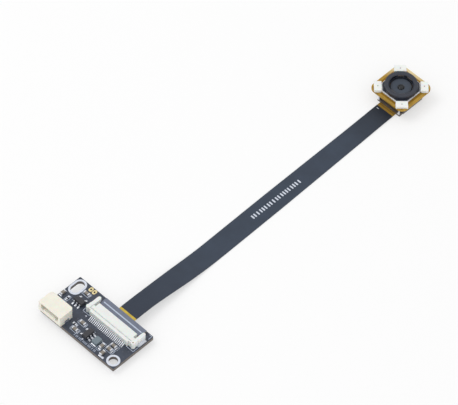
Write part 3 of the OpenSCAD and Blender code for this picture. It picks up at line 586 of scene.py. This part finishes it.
def board_solder():
    """Solder at the chips' ends, the regulators' leads, the connector's contacts and the inductor."""
    bm = bmesh.new()
    bodies = islands("capacitor_bodies", "resistor_bodies")
    for end in islands("capacitor_ends", "resistor_ends"):
        away = centre(end) - centre(nearest(end, bodies))
        along_x = abs(away.x) > abs(away.y)
        outward = step_out(away, along_x)
        size = end[1] - end[0]
        on_top = centre(end).z > (top_z + under_z) / 2
        fillet(bm, toe(end, outward), outward, width=size.y if along_x else size.x, reach=0.26,
               height=size.z * 0.62, base=top_z if on_top else under_z, side=1 if on_top else -1)
    chips = islands("regulator_bodies")
    for lead in islands("regulator_leads"):
        chip = nearest(lead, chips)
        size = chip[1] - chip[0]
        outward = step_out(centre(lead) - centre(chip), size.x <= size.y)
        fillet(bm, toe(lead, outward), outward, width=0.42, reach=0.22, height=0.12, base=top_z)
    forward = (0.0, -1.0)
    for contact in islands("zif_contacts"):
        fillet(bm, toe(contact, forward), forward, width=0.22, reach=0.24, height=0.11, base=top_z)
    inductor = islands("power_inductor")[0]
    for end in islands("inductor_terminals"):
        outward = step_out(centre(end) - centre(inductor), False)
        fillet(bm, toe(end, outward), outward, width=end[1].x - end[0].x, reach=0.2, height=0.1,
               base=top_z)
    return piece("board_solder", bm, solder, "module")


def anchor_solder():
    """Tinned pads that stick out round the solder anchors of the flexible circuit's connector."""
    bm = bmesh.new()
    grow = 0.14
    board_edge = board_high.x / MM - 0.08
    for low, high in islands("zif_anchor_tabs"):
        right = min(high.x + grow, board_edge)
        prism(bm, rounded(low.x - grow, low.y - grow, right, high.y + grow, 0.15),
              top_z + 2 * LIFT, top_z + 0.05, 0.03)
    return piece("anchor_solder", bm, solder, "module")


def contact_pads():
    """The tinned pads under the connector's contacts, a little wider than they are."""
    bm = bmesh.new()
    half, before, behind = 0.15, 0.2, 1.05
    for low, high in islands("zif_contacts"):
        x = (low.x + high.x) / 2
        prism(bm, rounded(x - half, low.y - before, x + half, low.y + behind, 0.05),
              top_z + LIFT, top_z + 0.03, 0.01)
    return piece("contact_pads", bm, pad_grey, "module")


def gate_spot():
    """The broken gate's darker face in its recess on the connector's right root."""
    bm = bmesh.new()
    x = housing_high.x - 0.575
    y = housing_low.y + 0.825
    for inner, outer, drop in ((DOT, 0.1, 0.125), (0.1, 0.19, 0.14)):
        ring(bm, x, y, inner, outer, housing_high.z - 0.149, housing_high.z - drop, 20)
    return piece("gate_spot", bm, gate_brown, "module")


SILK_LINES = [
    # corner marks of the flexible-circuit connector
    [(-4.8, 2.1), (-5.1, 1.8), (-5.1, 0.2), (-2.7, 0.2)],
    [(10.3, 0.2), (12.6, 0.2), (12.6, 1.9)],
    [(12.6, 5.6), (12.6, 6.75), (11.8, 6.75)],
    # outlines round the chips of the top face
    [(-3.5, -1.95), (-0.95, -1.95), (-0.95, -3.25), (-3.5, -3.25), (-3.5, -1.95)],
    [(-3.5, -4.65), (-0.95, -4.65), (-0.95, -5.95), (-3.5, -5.95), (-3.5, -4.65)],
    [(-4.2, -3.75), (-2.6, -3.75), (-2.6, -4.3), (-2.6, -4.4)],
    [(7.05, -1.45), (9.6, -1.45), (9.6, -2.75), (7.05, -2.75), (7.05, -1.45)],
    [(7.05, -2.95), (9.5, -2.95), (9.5, -4.15), (7.05, -4.15), (7.05, -2.95)],
    [(5.4, -3.0), (5.4, -5.65), (6.6, -5.65), (6.6, -3.0), (5.4, -3.0)],
    [(3.3, -5.75), (5.2, -5.75)],
    [(-9.3, 5.0), (-6.8, 5.0), (-6.8, 3.75), (-9.3, 3.75), (-9.3, 5.0)],
    [(-10.85, -0.95), (-10.85, 0.95), (-9.95, 0.95), (-9.95, -0.95), (-10.85, -0.95)],
    # beside the regulators
    [(-9.2, 0.6), (-9.2, 2.1)],
    [(0.5, -2.3), (2.0, -2.3)],
]


def silkscreen():
    bm = bmesh.new()
    for points in SILK_LINES:
        line(bm, on_board(points), 0.13, top_z + LIFT, top_z + 0.016)
    # a row of plain dashes where boards of this kind carry their print
    rng = random.Random(11)
    x, end, row = -1.25, 5.9, -6.35
    while x < end:
        half = rng.choice((0.18, 0.24, 0.24))
        line(bm, on_board([(x, row - half), (x, row + half)]), 0.14, top_z + LIFT, top_z + 0.014)
        x += rng.choice((0.38, 0.38, 0.62))
    return piece("silkscreen", bm, silk, "module")


def bare_pads():
    """Loose tinned pads of the top face."""
    bm = bmesh.new()
    for x, y, wide, deep in ((8.6, -6.45, 0.85, 0.6), (-3.25, -0.45, 0.45, 0.35),
                             (1.15, -5.95, 0.5, 0.4), (-0.1, -3.0, 0.75, 0.45)):
        x, y = mid_x + x, mid_y + y
        prism(bm, rounded(x - wide / 2, y - deep / 2, x + wide / 2, y + deep / 2, 0.12),
              top_z + LIFT, top_z + 0.05, 0.03)
    return piece("bare_pads", bm, land, "module")


def tracks():
    """Copper under the solder mask: a run and a filled via before each contact, and loose vias."""
    bm = bmesh.new()
    low, high = top_z + LIFT, top_z + 0.012
    via_high, via_steps = high + 0.004, 14
    feet = sorted(islands("zif_contacts"), key=lambda box: box[0].x)
    for i, foot in enumerate(feet):
        x, y = centre(foot).x, foot[0].y - 0.25
        drop = (0.35, 0.75)[i % 2]
        line(bm, [(x, y), (x, y - drop)], 0.12, low, high)
        ring(bm, x, y - drop - 0.13, 0.07, 0.17, low, via_high, via_steps)
    rng = random.Random(5)
    busy = islands("wire_socket", "zif_housing", "regulator_bodies", "regulator_leads",
                   "power_inductor", "capacitor_bodies", "capacitor_ends", "resistor_bodies",
                   "resistor_ends", "hole_lands", "test_pads", "zif_contacts", "zif_anchor_tabs")
    vias, room, own = 26, 0.45, 0.5
    placed = 0
    for _ in range(600):
        x = mid_x + rng.uniform(-12.4, 12.4)
        y = mid_y + rng.uniform(-6.4, 6.4)
        if placed < vias and all(x < a.x - room or x > b.x + room or y < a.y - room or y > b.y + room
                                 for a, b in busy):
            ring(bm, x, y, 0.08, 0.2, low, via_high, via_steps)
            busy.append((Vector((x - own, y - own, 0)), Vector((x + own, y + own, 0))))
            placed += 1
    return piece("tented_tracks", bm, tented, "module")


def chip_marks():
    """Round moulding marks on the regulators."""
    bm = bmesh.new()
    inset = 0.42
    for low, high in islands("regulator_bodies"):
        ring(bm, low.x + inset, high.y - inset, DOT, 0.13, high.z + LIFT / 2, high.z + 0.006, 18)
    return piece("chip_marks", bm, tented, "module")


board_solder()
anchor_solder()
contact_pads()
gate_spot()
silkscreen()
bare_pads()
tracks()
chip_marks()


# ---------------------------------------------------------------- tab and flexible circuit
def tab_print():
    """The pale stop line across the stiffened tab."""
    bm = bmesh.new()
    low, high = (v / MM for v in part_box("tab_stiffener"))
    y, inset = mid_y + 5.3, 0.6
    line(bm, [(low.x + inset, y), (high.x - inset, y)], 0.32, high.z + LIFT, high.z + 0.012)
    return piece("tab_line", bm, silk, "module")


def film_top(y):
    """Height of the upper cover film's top near y, from the CAD mesh, in millimetres."""
    near = 4.5
    return max(v.co.z / MM for v in nodes["flex_cover_top"].data.vertices if abs(v.co.y / MM - y) < near)


def ribbon_print():
    """Plain ticks in a row along the film, where such cables carry a line of print."""
    bm = bmesh.new()
    z = film_top(66) + LIFT
    rng = random.Random(3)
    start, end = 57.4, 74.9
    x_start, x_end = -8.12, -7.92
    half, width, gap = 0.42, 0.42, 0.42
    y = start
    while y < end:
        x = x_start + (x_end - x_start) * (y - start) / (end - start)
        line(bm, [(x - half, y), (x + half, y)], width, z, z + 0.01)
        y += rng.choice((0.42, 0.42, 0.62)) + gap
    y = 106.05
    z = film_top(106) + LIFT
    line(bm, [(-10.7, y), (-10.1, y)], 0.16, z, z + 0.01)
    return piece("ribbon_print", bm, print_white, "module")


tab_print()
ribbon_print()

# ---------------------------------------------------------------- camera head
lens_x, lens_y, can_top = (v / MM for v in lens_axis)


def lamp_cores():
    """The small grey window in the middle of each lamp."""
    bm = bmesh.new()
    step = 0.055
    for box in islands("led_bodies"):
        middle, top = centre(box), box[1].z
        for k in range(3):
            ring(bm, middle.x, middle.y, DOT + step * k, 0.05 + step * k, top - 0.055,
                 top - 0.03 - 0.006 * k, 20)
    return piece("lamp_cores", bm, phosphor, "module")


def lamp_solder():
    """Solder on both sides of each lamp, along the plate."""
    bm = bmesh.new()
    for box in islands("led_bodies"):
        middle = centre(box)
        out = Vector((middle.x - lens_x, middle.y - lens_y)).normalized()
        for s in (-1, 1):
            side = Vector((-out.y, out.x)) * s
            fillet(bm, Vector((middle.x, middle.y)) + side * 1.49, side, width=1.3, reach=0.16,
                   height=0.3, base=box[0].z - 0.04)
    return piece("lamp_solder", bm, solder, "module")


def plate_copper():
    """A raised copper run round the light plate, under its film, with two supply pads."""
    bm = bmesh.new()
    low, high = (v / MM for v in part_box("led_plate"))
    z = high.z + LIFT
    half = (high.x - low.x) / 2
    run, reach = half - 0.32, 2.9
    for c, s in ((1, 0), (0, 1), (-1, 0), (0, -1)):
        points = [(lens_x + x * c + run * s, lens_y + x * s - run * c) for x in (-reach, reach)]
        line(bm, points, 0.22, z, z + 0.013)
    for back in (2.2, 2.9):
        ring(bm, lens_x + half - 0.75, lens_y - back, 0.09, 0.21, z, z + 0.029, 20)
    return piece("plate_copper", bm, plate_gold, "module")


def front_element():
    """The domed front face of the first lens, seen in the aperture."""
    bm = bmesh.new()
    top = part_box("lens_barrel")[1].z / MM - 0.06
    dome, rise, steps = 0.72, 0.16, 32
    rows = [loop(bm, circle(lens_x, lens_y, dome * level, top - rise * level ** 4, steps))
            for level in (1.0, 0.96, 0.9, 0.82, 0.72, 0.6, 0.45, 0.25)]
    for row, above in zip(rows, rows[1:]):
        bridge(bm, row, above)
    crown = bm.verts.new((lens_x, lens_y, top))
    for i in range(steps):
        bm.faces.new((rows[-1][i], rows[-1][(i + 1) % steps], crown))
    bm.faces.new(rows[0][::-1])
    return piece("front_element", bm, front_glass, "focus_group", smooth=True)


def bore_ribs():
    """Low ribs on the front ring's bore, seen as paler patches between darker gaps."""
    bm = bmesh.new()
    outer, inner, half_turn, steps = 3.19, 3.1, 15, 6
    for middle in (90, 135, 270, 315):
        arc = [math.radians(middle + half_turn * (2 * i / steps - 1)) for i in range(steps + 1)]
        outline = [(lens_x + outer * math.cos(a), lens_y + outer * math.sin(a)) for a in arc]
        outline += [(lens_x + inner * math.cos(a), lens_y + inner * math.sin(a)) for a in reversed(arc)]
        prism(bm, outline, can_top + 0.62, can_top + 0.98)
    return piece("bore_ribs", bm, rib_brown, "module")


def leg_solder():
    """Solder in front of the feet of the light plate's two legs."""
    bm = bmesh.new()
    for low, high in islands("led_feed_legs"):
        fillet(bm, ((low.x + high.x) / 2, high.y - 0.32), (0.0, -1.0), width=0.62, reach=0.30,
               height=0.42, base=low.z)
    return piece("leg_solder", bm, solder, "module")


lamp_cores()
lamp_solder()
plate_copper()
front_element()
bore_ribs()
leg_solder()

# ---------------------------------------------------------------- floor
FLOOR_HALF = 3.0        # metres
FLOOR_WHITE = 0.5       # share of what is seen of the floor that is plain white, for a faint shadow

floor_mesh = bpy.data.meshes.new("floor")
floor_bm = bmesh.new()
bmesh.ops.create_grid(floor_bm, x_segments=8, y_segments=8, size=FLOOR_HALF)
floor_bm.to_mesh(floor_mesh)
floor_bm.free()
floor = bpy.data.objects.new("floor", floor_mesh)
floor.location = (lens_axis.x, 0.05, cad_low.z)
scene.collection.objects.link(floor)
floor_paint = Paint("floor", (250, 250, 250), rough=0.9, spread=0.002, grain=4, bump=0.0, bevel=0)
blend = floor_paint.add("ShaderNodeMixShader")
share = floor_paint.math("MULTIPLY", seen_rays(floor_paint.tree), FLOOR_WHITE)
white = floor_paint.add("ShaderNodeEmission")
floor_paint.link(share, blend.inputs["Fac"])
floor_paint.link(floor_paint.bsdf.outputs[0], blend.inputs[1])
floor_paint.link(white.outputs[0], blend.inputs[2])
floor_paint.link(blend.outputs[0], floor_paint.out.inputs["Surface"])
floor_mesh.materials.append(floor_paint.mat)
